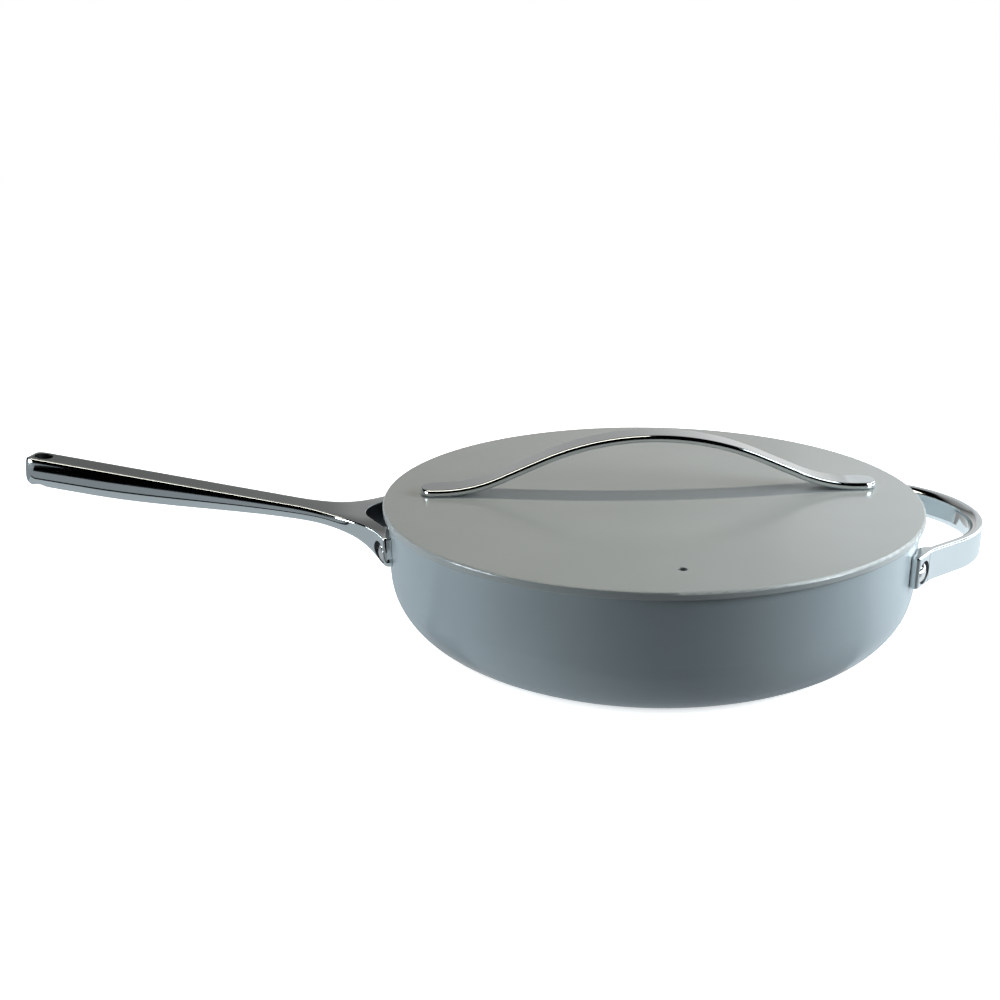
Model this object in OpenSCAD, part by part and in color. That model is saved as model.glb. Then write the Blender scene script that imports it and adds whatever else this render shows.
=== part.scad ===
// Saute pan with a flat lid, a forked long handle and a loop helper handle.
// Origin: centre of the base on the table. +Z is up, the long handle lies towards -X, the helper to +X.

/* [Pan body] */
// Outside diameter of the wall
pan_d = 300; // [280:1:320]
// Height of the rim above the table
pan_h = 68; // [64:0.5:80]
// Thickness of the wall
wall_t = 3; // [2:0.1:4]
// Thickness of the floor above the base plate
floor_t = 3.5; // [2.5:0.1:5]
// Outside radius between base and wall
base_r = 34; // [28:0.5:38]
// Rounding of the rim's edges
rim_r = 0.8; // [0.4:0.1:1]

/* [Base plate] */
// Distance from the magnetic steel disc to the start of the corner's rounding
plate_margin = 12; // [6:0.5:20]
// Thickness of the disc
plate_t = 1.2; // [0.8:0.1:1.5]
// How far the disc stands below the coated base
plate_proud = 0.2; // [0.1:0.05:0.4]
// Diameter of the holes that key the disc to the base
key_d = 6; // [4:0.5:8]
// Radial distance between rings of holes
key_ring_gap = 25; // [20:1:30]
// Least distance from the last ring to the disc's edge
key_margin = 15; // [8:1:25]

/* [Long handle] */
// Distance from the wall to the tip
handle_l = 203.7; // [180:0.1:240]
// Level of the fork's top face below the rim
handle_drop = 7; // [5:0.5:12]
// Rise of the straight bar
handle_rise = 11.1; // [6:0.1:14]
// Distance from the wall at which the fork starts to bend up into the bar
handle_bend_from = 14.4; // [8:0.1:20]
// Length of that bend
handle_bend_l = 23; // [16:0.5:44]
// Half width of the bar
bar_half_w = 7.9; // [7:0.1:10]
// Depth of the bar where it leaves the fork
bar_neck_t = 9.5; // [8:0.1:11]
// Depth of the bar at its thick end
bar_end_t = 17.3; // [12:0.1:18]
// Distance from the wall at which the bar starts to thicken
neck_l = 38; // [36:1:50]
// Length over which it thickens
swell_l = 130; // [110:1:140]
// Rounding of the underside into the end of the bar
tip_round = 5; // [2:0.5:6]
// Crisp rounding along the top edges
bar_edge = 0.8; // [0.4:0.1:1.2]
// Diameter of the hanging hole
hang_d = 9.5; // [7:0.5:10]
// Distance from the tip to the centre of the hanging hole
hang_inset = 9.2; // [8.5:0.1:20]

/* [Fork] */
// Angle from the handle's line to the outer edge of each pad
fork_edge_angle = 17.3; // [16:0.1:20]
// Angle from the handle's line to each rivet
fork_rivet_angle = 14.6; // [13.5:0.1:15.5]
// Depth of the pads
pad_h = 19.3; // [16:0.1:21]
// Thickness of a pad at its outer edge
pad_t = 4.2; // [3:0.1:5]
// Lean of a pad's outer face from the line of the wall
pad_lean = 14.5; // [8:0.5:16]
// Straight length of a pad's outer face
pad_flat_l = 9.5; // [6:0.5:12]
// How much the top falls from the middle of the fork to the pads
pad_droop = 1.4; // [1:0.1:3]
// Reach of the notch from the wall
notch_reach = 14.5; // [12:0.5:18]
// Radius at the bottom of the notch
notch_r = 22; // [10:1:26]
// Half width of the notch at the wall
notch_half_w = 28.5; // [24:0.5:30]

/* [Helper handle] */
// Level of the strap's top face below the rim
helper_drop = 8.5; // [7:0.5:12]
// Reach of the loop from the wall
helper_reach = 41; // [36:0.5:50]
// Height of the strap
strap_h = 17.5; // [15:0.5:20]
// Thickness of the strap
strap_t = 7; // [5:0.1:8]
// Angle from the handle's line to the outer edge of each pad
loop_edge_angle = 31.5; // [30:0.5:34]
// Angle from the handle's line to each rivet
loop_rivet_angle = 28.7; // [28:0.1:30]
// Lean of a pad's outer face from the line of the wall
loop_lean = 9; // [6:0.5:12]
// Straight length of a pad's outer face
loop_flat_l = 13.5; // [11:0.5:16]
// Radius between pad and arm
loop_root_r = 35; // [25:1:45]
// Angle of the arms to the handle's line
arm_angle = 35; // [30:1:38]
// Rounding of the strap's edges on its outside
strap_outer_edge = 0.9; // [0.5:0.1:1.4]
// Rounding of the strap's edges on its inside
strap_inner_edge = 5; // [1:0.1:5.2]

/* [Rivets] */
// Diameter of the domed heads
rivet_head_d = 11.7; // [10:0.1:13]
// Height of the outside domes
rivet_dome_h = 2.2; // [1.4:0.1:2.6]
// Height of the inside domes
rivet_inner_h = 1.4; // [1:0.1:2]
// Diameter of the shanks
rivet_shank_d = 6.4; // [5:0.1:8]
// Level of all the rivets below the long handle's top face at the fork
rivet_drop = 11.3; // [10.5:0.1:13]
// Metal left under the outside heads
rivet_seat_t = 4.3; // [3.5:0.1:5]

/* [Lid] */
// How far the lid stands out over the wall
lid_overhang = 2.5; // [1:0.1:4]
// Height of the lid's edge
lid_edge_h = 4.3; // [3:0.1:6]
// Thickness of the lid's plate
lid_plate_t = 3; // [2:0.1:3.5]
// Rounding of the lid's upper edge
lid_edge_r = 1.3; // [0.5:0.1:1.6]
// Depth of the locating ring under the plate
ring_h = 7; // [5:0.5:9]
// Thickness of the locating ring
ring_t = 2.4; // [1.5:0.1:4]
// Diameter of the steam vent
vent_d = 4.5; // [3:0.1:6]
// Distance from the lid's edge to the vent
vent_inset = 27.5; // [20:0.5:50]
// Turn of the lid on the pan
lid_turn = 2.3; // [-180:0.1:180]

/* [Lid handle] */
// Distance from the lid's edge to each end of the strap
grip_inset = 23.5; // [16:0.5:40]
// Width of the strap
grip_w = 19; // [16:0.5:24]
// Thickness of the strap
grip_t = 4.2; // [3.5:0.1:5]
// Height of the arch above the lid
grip_h = 34.3; // [28:0.1:40]
// Length of each flat foot
foot_l = 8.5; // [8.2:0.1:24]
// Length of the straight slope between crown and foot
slope_l = 26.2; // [20:0.1:40]
// Radius between arch and feet
foot_r = 83.7; // [50:0.1:90]
// Corner radius of the feet seen from above
foot_corner_r = 8; // [5:0.5:9]
// Rounding of the strap's long edges
grip_edge = 1.7; // [1:0.1:1.8]

/* [Lid fixings] */
// Distance from the end of the strap to each screw
screw_inset = 9; // [7:0.5:12]
// Diameter of the screws
screw_d = 4; // [3:0.1:5]
// Depth of the screws in the feet
screw_reach = 3; // [2:0.1:3.2]
// Diameter of the screw heads
screw_head_d = 8; // [6:0.1:9]
// Height of the screw heads
screw_head_h = 2.4; // [1.6:0.1:3]
// Diameter of the washers
washer_d = 11; // [9:0.5:13]
// Thickness of the washers
washer_t = 0.8; // [0.5:0.1:1.2]

/* [Hidden] */
$fn = 96;

coat = "#8f9ba3";
steel = "#c8c6c1";
plate_steel = "#b4b4b2";

// Clearances and the overrun of every cut
over = 1;
seat_gap = 0.2;
hug_gap = 0.15;
shank_gap = 0.1;
plate_gap = 0.15;
key_gap = 0.1;
spot_gap = 0.4;
ring_gap = 0.8;
screw_gap = 0.3;

// Pan
pan_r = pan_d / 2;
inner_r = pan_r - wall_t;
plate_r = pan_r - base_r - plate_margin;
recess_t = plate_t - plate_proud;
floor_z = plate_t + floor_t;
fork_top = pan_h - handle_drop;
helper_top = pan_h - helper_drop;
rivet_z = fork_top - rivet_drop;
key_rings = floor((plate_r - key_margin) / key_ring_gap);
key_first = 12;

// Lid
lid_r = pan_r + lid_overhang;
lid_under = pan_h + seat_gap;
lid_top = lid_under + lid_edge_h;
lid_plate_under = lid_top - lid_plate_t;
ring_r = inner_r - ring_gap;
grip_end = lid_r - grip_inset;
screw_at = grip_end - screw_inset;
ends = [-1, 1];

function smooth(u) = let (c = min(1, max(0, u))) c * c * (3 - 2 * c);
function mix(a, b, u) = a + (b - a) * u;

// Triangles that join rings of points into one closed skin. The ends are fans from the point numbered hub
function skin_faces(rings, sides, hub) = concat(
    [for (i = [0:rings - 2]) for (j = [0:sides - 1])
        [i * sides + j, i * sides + (j + 1) % sides, (i + 1) * sides + (j + 1) % sides]],
    [for (i = [0:rings - 2]) for (j = [0:sides - 1])
        [i * sides + j, (i + 1) * sides + (j + 1) % sides, (i + 1) * sides + j]],
    [[for (j = [sides:-1:1]) (hub + j) % sides]],
    [[for (j = [0:sides - 1]) (rings - 1) * sides + (hub + j) % sides]]);

module skin(rings, hub = 0) {
    polyhedron(points = [for (ring = rings) each ring],
        faces = skin_faces(len(rings), len(rings[0]), hub), convexity = 6);
}

// What a rounded edge takes from a square corner, with the corner away from the origin
module edge_cut(r) {
    difference() {
        square(r + over);
        circle(r);
    }
}

// Pan body

module wall_profile() {
    difference() {
        union() {
            square([pan_r - base_r, pan_h]);
            translate([pan_r - base_r, base_r + plate_proud]) circle(base_r);
            translate([0, base_r + plate_proud]) square([pan_r, pan_h - base_r - plate_proud]);
        }
        square([pan_r, plate_proud]);
        hollow_profile();
        translate([pan_r - rim_r, pan_h - rim_r]) edge_cut(rim_r);
        translate([inner_r + rim_r, pan_h - rim_r]) mirror([1, 0]) edge_cut(rim_r);
    }
}

module hollow_profile() {
    hollow_r = base_r - wall_t;
    hollow_z = floor_z + hollow_r;
    translate([0, floor_z]) square([inner_r - hollow_r, pan_h]);
    translate([inner_r - hollow_r, hollow_z]) circle(hollow_r);
    translate([0, hollow_z]) square([inner_r, pan_h]);
}

// Places one child at every key hole of the base plate
module at_keys() {
    for (ring = [1:key_rings]) {
        count = key_first * ring;
        for (i = [0:count - 1])
            rotate([0, 0, 360 * i / count]) translate([ring * key_ring_gap, 0, 0]) children();
    }
}

module rivet_holes(angle, toward) {
    for (side = ends) rotate([0, 0, toward + side * angle])
        translate([0, 0, rivet_z]) rotate([0, 90, 0])
            cylinder(h = pan_r + pad_h, r = rivet_shank_d / 2 + shank_gap);
}

module pan_body() {
    color(coat) difference() {
        union() {
            difference() {
                rotate_extrude() wall_profile();
                cylinder(h = plate_t, r = plate_r + plate_gap);
            }
            at_keys() translate([0, 0, plate_proud])
                cylinder(h = recess_t + floor_t / 2, r = key_d / 2 - key_gap);
        }
        rivet_holes(fork_rivet_angle, 180);
        rivet_holes(loop_rivet_angle, 0);
    }
}

module base_plate() {
    color(plate_steel) difference() {
        cylinder(h = plate_t, r = plate_r);
        at_keys() translate([0, 0, -over]) cylinder(h = plate_t + 2 * over, r = key_d / 2);
    }
}

// Long handle: one loft from the pads to the tip, with its stations at distances s from the pan's axis

tip_s = pan_r + handle_l;
rise = tan(handle_rise);
edge_s = (pan_r + pad_t) * cos(fork_edge_angle);
edge_w = (pan_r + pad_t) * sin(fork_edge_angle);
pad_heading = 90 - fork_edge_angle - pad_lean;
flat_s = edge_s + pad_flat_l * cos(pad_heading);
flat_w = edge_w - pad_flat_l * sin(pad_heading);
throat_r = (flat_w - bar_half_w) / (1 - cos(pad_heading));
throat_s = flat_s + throat_r * sin(pad_heading);
tip_r = bar_half_w;
swell_from = pan_r + neck_l;
bend_from = pan_r + handle_bend_from;

// Half width of the outline in plan
function half_w(s) =
    s < edge_s ? edge_w * s / edge_s :
    s < flat_s ? mix(edge_w, flat_w, (s - edge_s) / (flat_s - edge_s)) :
    s < throat_s ? bar_half_w + throat_r * (1 - cos(asin((throat_s - s) / throat_r))) :
    s < tip_s - tip_r ? bar_half_w :
    sqrt(max(0, tip_r * tip_r - pow(s - tip_s + tip_r, 2)));

// Level of the top face on the centre line
function top_z(s) = let (far = max(0, s - bend_from), run = min(handle_bend_l, far))
    fork_top + rise * (run * run / (2 * handle_bend_l) + far - run);

function droop(w) = pad_droop * pow(max(0, abs(w) - bar_half_w) / (edge_w - bar_half_w), 2);
function tip_lift(s) = let (u = max(0, s - tip_s + tip_round) / tip_round)
    tip_round * (1 - sqrt(max(0, 1 - u * u)));
function bar_t(s) = mix(bar_neck_t, bar_end_t, smooth((s - swell_from) / swell_l)) - tip_lift(s);
function depth(s, w) = bar_t(s)
    + (pad_h - bar_neck_t) * smooth((w - bar_half_w) / (edge_w - bar_half_w));

// How square the underside is: round along the bar, nearly square at the pads
bar_power = 2.4;
pad_power = 7;
function power(s) = mix(pad_power, bar_power, smooth((s - pan_r) / neck_l));

// The sections stand upright at the fork and square to the bar along it
function lean(s) = rise * smooth((s - bend_from) / handle_bend_l);

top_steps = 8;
under_steps = 24;

// One cross-section of the long handle. Its top ends a little inside the sides, for the crisp edge.
// A blunt one is as deep in the middle as at the pads: the first, which lies inside the wall's line
function handle_ring(s, blunt = false) =
    let (w = max(half_w(s), 2 * bar_edge), in_w = w - bar_edge, z = top_z(s), p = 2 / power(s))
    concat(
        [for (i = [0:top_steps]) let (y = mix(in_w, -in_w, i / top_steps)) [-s, y, z - droop(y)]],
        [for (i = [0:under_steps])
            let (a = 180 * i / under_steps,
                y = -w * sign(cos(a)) * pow(abs(cos(a)), p),
                t = (blunt ? pad_h : depth(s, abs(y))) - bar_edge,
                below = bar_edge + t * pow(sin(a), p))
            [-s - lean(s) * below, y, z - droop(y) - below]]);

// Stations along the handle, closer together in the fork and round the tip
flat_steps = 4;
fork_steps = 16;
bar_steps = 16;
tip_steps = 8;
pad_start = (pan_r - wall_t) * cos(fork_edge_angle) - wall_t;
handle_stations = concat(
    [edge_s],
    [for (i = [1:flat_steps]) mix(edge_s, flat_s, i / flat_steps)],
    [for (i = [1:fork_steps]) throat_s - throat_r * sin(pad_heading * (1 - i / fork_steps))],
    [for (i = [1:bar_steps]) mix(throat_s, tip_s - tip_r, i / bar_steps)],
    [for (i = [1:tip_steps]) tip_s - tip_r * (1 - sin(90 * i / tip_steps))]);

// Notch between the prongs: a round bottom and two straight flanks that open towards the wall
module notch() {
    bottom_s = pan_r + notch_reach - notch_r;
    run = bottom_s - pan_r;
    reach = sqrt(run * run + notch_half_w * notch_half_w);
    flank = atan2(run, notch_half_w) + asin(notch_r / reach);
    touch = [bottom_s + notch_r * cos(flank), notch_r * sin(flank)];
    translate([0, 0, fork_top - pad_h - over]) linear_extrude(pad_h + handle_bend_l) {
        translate([-bottom_s, 0]) circle(notch_r);
        polygon([[-touch[0], touch[1]], [-pan_r, notch_half_w], [-pan_r + pad_h, notch_half_w],
            [-pan_r + pad_h, -notch_half_w], [-pan_r, -notch_half_w], [-touch[0], -touch[1]]]);
    }
}

// Flat seats for the outside heads, square to each rivet
module rivet_seats(angle, toward) {
    for (side = ends) rotate([0, 0, toward + side * angle])
        translate([pan_r + rivet_seat_t, 0, rivet_z]) rotate([0, 90, 0])
            cylinder(h = pad_h, r = rivet_head_d / 2 + spot_gap);
}

module long_handle() {
    hang_s = tip_s - hang_inset;
    color(steel) difference() {
        skin(concat([handle_ring(pad_start, true)], [for (s = handle_stations) handle_ring(s)]),
            hub = top_steps + 1 + under_steps / 2);
        cylinder(h = pan_h, r = pan_r + hug_gap);
        notch();
        rivet_holes(fork_rivet_angle, 180);
        rivet_seats(fork_rivet_angle, 180);
        translate([-hang_s, 0, top_z(hang_s)]) rotate([0, handle_rise, 0])
            cylinder(h = 2 * (bar_end_t + over), r = hang_d / 2, center = true);
    }
}

// Rivets

module dome(d, h) {
    ball_r = (d * d / 4 + h * h) / (2 * h);
    rotate_extrude() intersection() {
        translate([0, h - ball_r]) circle(ball_r);
        square([d / 2, h]);
    }
}

module rivet() {
    seat_r = pan_r + rivet_seat_t;
    inner_seat_r = sqrt(inner_r * inner_r - rivet_head_d * rivet_head_d / 4) - hug_gap / 2;
    translate([0, 0, rivet_z]) rotate([0, 90, 0]) {
        translate([0, 0, inner_seat_r]) cylinder(h = seat_r - inner_seat_r, r = rivet_shank_d / 2);
        translate([0, 0, seat_r]) dome(rivet_head_d, rivet_dome_h);
        translate([0, 0, inner_seat_r]) mirror([0, 0, 1]) dome(rivet_head_d, rivet_inner_h);
    }
}

module long_handle_rivets() {
    color(steel) for (side = ends) rotate([0, 0, 180 + side * fork_rivet_angle]) rivet();
}

module helper_handle_rivets() {
    color(steel) for (side = ends) rotate([0, 0, side * loop_rivet_angle]) rivet();
}

// Helper handle: a strap swept along its outside face, from one pad round the loop to the other

loop_heading = 90 - loop_edge_angle - loop_lean;
root_turn = loop_heading - arm_angle;
loop_start = (pan_r + pad_t) * [cos(loop_edge_angle), sin(loop_edge_angle)];
pad_end = loop_start + loop_flat_l * [cos(loop_heading), -sin(loop_heading)];
root_end = pad_end + loop_root_r
    * [sin(loop_heading) - sin(arm_angle), cos(loop_heading) - cos(arm_angle)];
crown_share = (1 - sin(arm_angle)) / cos(arm_angle);
arm_l = (pan_r + helper_reach - root_end[0] - root_end[1] * crown_share)
    / (cos(arm_angle) - sin(arm_angle) * crown_share);
arm_end = root_end + arm_l * [cos(arm_angle), -sin(arm_angle)];
loop_r = arm_end[1] / cos(arm_angle);

root_steps = 6;
arm_steps = 3;
loop_steps = 12;

// Places on one half of the outside face: the point, the way the face runs, and its share of the solid pad
half_loop = concat(
    [for (i = [0:flat_steps - 1]) [mix(loop_start, pad_end, i / flat_steps), loop_heading, 1]],
    [for (i = [0:root_steps - 1]) let (a = loop_heading - root_turn * i / root_steps)
        [pad_end + loop_root_r * [sin(loop_heading) - sin(a), cos(loop_heading) - cos(a)], a,
            1 - smooth(i / root_steps)]],
    [for (i = [0:arm_steps - 1]) [mix(root_end, arm_end, i / arm_steps), arm_angle, 0]],
    [for (i = [0:loop_steps]) let (a = mix(arm_angle, 90, i / loop_steps))
        [[arm_end[0] + loop_r * (sin(a) - sin(arm_angle)), loop_r * cos(a)], a, 0]]);

// Distance from the outside face in to the wall, along the face's normal
function to_wall(p, a) =
    let (inward = -(p[0] * sin(a) + p[1] * cos(a)), off = pow(norm(p), 2) - pow(pan_r + hug_gap, 2))
    -inward - sqrt(max(0, inward * inward - off));

// Thickness of the strap: solid down to the wall at the pads, then a fillet to the plain strap
function loop_t(p, a, share) = share > 0 ? mix(strap_t, to_wall(p, a), share) : strap_t;

corner_steps = 3;

// Rounded section of thickness t, with its inside edges rounded to r: inwards from the outside face, and up
function strap_section(t, r) = concat(
    [for (i = [0:corner_steps]) let (a = 90 * i / corner_steps)
        [strap_outer_edge * (1 - sin(a)), strap_h / 2 - strap_outer_edge * (1 - cos(a))]],
    [for (i = [corner_steps:-1:0]) let (a = 90 * i / corner_steps)
        [strap_outer_edge * (1 - sin(a)), -strap_h / 2 + strap_outer_edge * (1 - cos(a))]],
    [for (i = [0:corner_steps]) let (a = 90 * i / corner_steps)
        [t - r * (1 - sin(a)), -strap_h / 2 + r * (1 - cos(a))]],
    [for (i = [corner_steps:-1:0]) let (a = 90 * i / corner_steps)
        [t - r * (1 - sin(a)), strap_h / 2 - r * (1 - cos(a))]]);

function loop_ring(place, side) =
    let (p = place[0], a = place[1], inward = [-sin(a), -cos(a)],
        r = mix(strap_inner_edge, strap_outer_edge, place[2]))
    [for (q = strap_section(loop_t(p, a, place[2]), r))
        [p[0] + q[0] * inward[0], side * (p[1] + q[0] * inward[1]), helper_top - strap_h / 2 + q[1]]];

module helper_handle() {
    last = len(half_loop) - 1;
    color(steel) difference() {
        skin(concat(
            [for (i = [0:last]) loop_ring(half_loop[i], 1)],
            [for (i = [last - 1:-1:0]) loop_ring(half_loop[i], -1)]));
        rivet_holes(loop_rivet_angle, 0);
        rivet_seats(loop_rivet_angle, 0);
    }
}

// Lid

module at_screws() {
    rotate([0, 0, lid_turn]) for (side = ends) translate([side * screw_at, 0, 0]) children();
}

module lid_profile() {
    rim_in = ring_r - ring_t;
    difference() {
        union() {
            translate([0, lid_plate_under]) square([lid_r, lid_plate_t]);
            translate([rim_in, lid_under]) square([lid_r - rim_in, lid_edge_h]);
            translate([rim_in, lid_plate_under - ring_h]) square([ring_t, ring_h]);
        }
        translate([lid_r - lid_edge_r, lid_top - lid_edge_r]) edge_cut(lid_edge_r);
        translate([lid_r - rim_r, lid_under + rim_r]) mirror([0, 1]) edge_cut(rim_r);
    }
}

module lid_plate() {
    color(coat) difference() {
        rotate_extrude() lid_profile();
        rotate([0, 0, lid_turn - 90]) translate([lid_r - vent_inset, 0, lid_under])
            cylinder(h = lid_edge_h + over, r = vent_d / 2);
        at_screws() translate([0, 0, lid_under])
            cylinder(h = lid_edge_h + over, r = screw_d / 2 + screw_gap);
    }
}

// Lid handle: a strap swept along the top of its arch

// The slope and the crown's radius follow from the span, the height and the straight slope
flat_a = grip_end - foot_l;
grip_slope = 2 * atan2(grip_h - grip_t, flat_a + slope_l);
crown_r = (flat_a - slope_l * cos(grip_slope)) / sin(grip_slope) - foot_r;
round_a = grip_end - foot_corner_r;

crown_steps = 9;
fillet_steps = 8;
end_steps = 6;

// Places on one half of the top line: distance from the middle, height and slope
half_grip = concat(
    [for (i = [0:crown_steps]) let (a = grip_slope * i / crown_steps)
        [crown_r * sin(a), grip_h - crown_r * (1 - cos(a)), a]],
    [for (i = [0:fillet_steps]) let (a = grip_slope * (1 - i / fillet_steps))
        [flat_a - foot_r * sin(a), grip_t + foot_r * (1 - cos(a)), a]],
    [for (i = [0:end_steps]) [round_a + foot_corner_r * sin(90 * i / end_steps), grip_t, 0]]);

function grip_half_w(a) = a < round_a ? grip_w / 2
    : grip_w / 2 - foot_corner_r + sqrt(max(0, pow(foot_corner_r, 2) - pow(a - round_a, 2)));

function grip_section(w) = [for (corner = [[1, 1], [1, -1], [-1, -1], [-1, 1]])
    for (i = [0:corner_steps]) let (turn = corner[0] * corner[1] > 0 ? i : corner_steps - i,
        a = 90 * turn / corner_steps)
        [corner[0] * (w - grip_edge * (1 - sin(a))), corner[1] * (grip_t / 2 - grip_edge * (1 - cos(a)))]];

function grip_ring(place, side) =
    let (drop = [-sin(place[2]), -cos(place[2])])
    [for (q = grip_section(grip_half_w(place[0])))
        [side * (place[0] + (grip_t / 2 - q[1]) * drop[0]), q[0],
            lid_top + place[1] + (grip_t / 2 - q[1]) * drop[1]]];

module lid_handle() {
    last = len(half_grip) - 1;
    color(steel) difference() {
        rotate([0, 0, lid_turn]) skin(concat(
            [for (i = [last:-1:1]) grip_ring(half_grip[i], -1)],
            [for (i = [0:last]) grip_ring(half_grip[i], 1)]));
        at_screws() translate([0, 0, lid_top - over])
            cylinder(h = screw_reach + over + screw_gap, r = screw_d / 2 + shank_gap);
    }
}

module lid_handle_screws() {
    head_top = lid_plate_under - washer_t;
    color(steel) at_screws() {
        translate([0, 0, head_top]) cylinder(h = lid_plate_t + washer_t + screw_reach, r = screw_d / 2);
        translate([0, 0, head_top]) mirror([0, 0, 1]) dome(screw_head_d, screw_head_h);
    }
}

module lid_handle_washers() {
    color(plate_steel) at_screws() translate([0, 0, lid_plate_under - washer_t]) difference() {
        cylinder(h = washer_t, r = washer_d / 2);
        translate([0, 0, -over]) cylinder(h = washer_t + 2 * over, r = screw_d / 2 + screw_gap);
    }
}

pan_body();
base_plate();
long_handle();
long_handle_rivets();
helper_handle();
helper_handle_rivets();
lid_plate();
lid_handle();
lid_handle_screws();
lid_handle_washers();
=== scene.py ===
"""Looks for the saute pan: materials on the CAD's nodes, finer copies of the three polished handles, a
studio and a camera.

Lengths are in millimetres and become metres through mm(). The frame is the CAD's: the centre of the base is
the origin, +Z is up, the long handle lies towards -X and the helper handle towards +X.
"""
import math

import bmesh
import bpy
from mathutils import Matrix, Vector


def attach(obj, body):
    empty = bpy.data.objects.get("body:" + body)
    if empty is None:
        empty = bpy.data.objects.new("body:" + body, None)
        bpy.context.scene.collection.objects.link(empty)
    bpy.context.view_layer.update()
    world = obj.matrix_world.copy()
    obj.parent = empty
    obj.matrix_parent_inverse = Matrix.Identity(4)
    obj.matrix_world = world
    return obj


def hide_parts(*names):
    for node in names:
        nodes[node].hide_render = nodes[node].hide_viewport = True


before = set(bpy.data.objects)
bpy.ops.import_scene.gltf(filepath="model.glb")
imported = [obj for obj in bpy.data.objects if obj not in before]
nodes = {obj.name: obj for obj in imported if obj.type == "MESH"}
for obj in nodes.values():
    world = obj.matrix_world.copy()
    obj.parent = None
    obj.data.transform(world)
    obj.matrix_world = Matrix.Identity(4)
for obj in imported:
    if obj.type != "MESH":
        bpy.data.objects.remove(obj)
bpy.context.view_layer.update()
scene = bpy.context.scene

MM = 0.001
QUARTER = math.pi / 2


def mm(value):
    """A length in millimetres, in metres."""
    return value * MM


def smooth(u):
    """A soft step from 0 to 1, as u goes from 0 to 1."""
    c = min(1, max(0, u))
    return c * c * (3 - 2 * c)


def mix(a, b, u):
    """The value at the share u of the way from a to b."""
    return a + (b - a) * u


def shares(steps):
    """The numbers from 0 to 1 in even steps."""
    return [i / steps for i in range(steps + 1)]


def circle(radius, sides):
    """Points evenly round a circle about the origin."""
    angles = [math.tau * u for u in shares(sides)[:-1]]
    return [(radius * math.cos(a), radius * math.sin(a)) for a in angles]


# Sizes of the pan and its fittings, as in the part's source, but for PAD_H, which is 19.3 there

PAN_R = 150
PAN_H = 68
WALL_T = 3
PAD_H = 21.2
PAD_T = 4.2
HUG_GAP = 0.15
FORK_TOP = 61
HELPER_TOP = 59.5
RIVET_Z = 49.7
RIVET_HEAD_D = 11.7
RIVET_SEAT_T = 4.3
RIVET_HOLE_R = 3.3
SPOT_GAP = 0.4
RIVET_SEAT_R = RIVET_HEAD_D / 2 + SPOT_GAP
LID_TOP = 72.5
LID_TURN = math.radians(2.3)

# Mesh helpers

ROD_SIDES = 96
HOLE_SIDES = 48
WALL_SIDES = 720
SHARP_ANGLE = math.radians(40)


def new_object(name, verts, faces):
    """A mesh object from points in millimetres."""
    mesh = bpy.data.meshes.new(name)
    mesh.from_pydata([tuple(mm(c) for c in v) for v in verts], [], faces)
    mesh.validate()
    mesh.update()
    obj = bpy.data.objects.new(name, mesh)
    scene.collection.objects.link(obj)
    return obj


def fix_normals(obj):
    """Turns every face of a closed mesh outwards."""
    bm = bmesh.new()
    bm.from_mesh(obj.data)
    bmesh.ops.recalc_face_normals(bm, faces=bm.faces)
    bm.to_mesh(obj.data)
    bm.free()


def loft(name, rings):
    """One closed skin over rings of points, with one flat face at each end."""
    sides = len(rings[0])
    verts = [p for ring in rings for p in ring]
    faces = []
    for i in range(len(rings) - 1):
        for j in range(sides):
            k = (j + 1) % sides
            faces.append((i * sides + j, i * sides + k, (i + 1) * sides + k, (i + 1) * sides + j))
    faces.append(tuple(reversed(range(sides))))
    last = (len(rings) - 1) * sides
    faces.append(tuple(range(last, last + sides)))
    obj = new_object(name, verts, faces)
    fix_normals(obj)
    return obj


def rod(radius, start, end, sides=ROD_SIDES):
    """A round cutter from start to end."""
    a, b = Vector(start), Vector(end)
    turn = (b - a).to_track_quat("Z", "Y")
    rings = [[centre + turn @ Vector((x, y, 0)) for x, y in circle(radius, sides)] for centre in (a, b)]
    return loft("cutter", rings)


def apply_modifiers(obj):
    """Replaces the mesh of an object by what its modifiers make of it."""
    bpy.context.view_layer.update()
    depsgraph = bpy.context.evaluated_depsgraph_get()
    mesh = bpy.data.meshes.new_from_object(obj.evaluated_get(depsgraph))
    obj.modifiers.clear()
    old = obj.data
    obj.data = mesh
    bpy.data.meshes.remove(old)


def cut(obj, cutters):
    """Cuts the cutters out of obj and deletes them."""
    for cutter in cutters:
        step = obj.modifiers.new("cut", "BOOLEAN")
        step.operation = "DIFFERENCE"
        step.solver = "EXACT"
        step.object = cutter
    apply_modifiers(obj)
    for cutter in cutters:
        bpy.data.objects.remove(cutter)


def round_edges(obj, width, degrees, segments):
    """Rounds the edges sharper than the given angle, so that they catch the light as polished edges do."""
    step = obj.modifiers.new("round", "BEVEL")
    step.width = mm(width)
    step.segments = segments
    step.limit_method = "ANGLE"
    step.angle_limit = math.radians(degrees)
    step.use_clamp_overlap = True
    apply_modifiers(obj)


def shade(obj):
    """Smooth shading that keeps the sharp edges."""
    bm = bmesh.new()
    bm.from_mesh(obj.data)
    for face in bm.faces:
        face.smooth = True
    for edge in bm.edges:
        edge.smooth = len(edge.link_faces) == 2 and edge.calc_face_angle(0) < SHARP_ANGLE
    bm.to_mesh(obj.data)
    bm.free()
    step = obj.modifiers.new("flat_faces", "WEIGHTED_NORMAL")
    step.keep_sharp = True


# Materials

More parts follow.
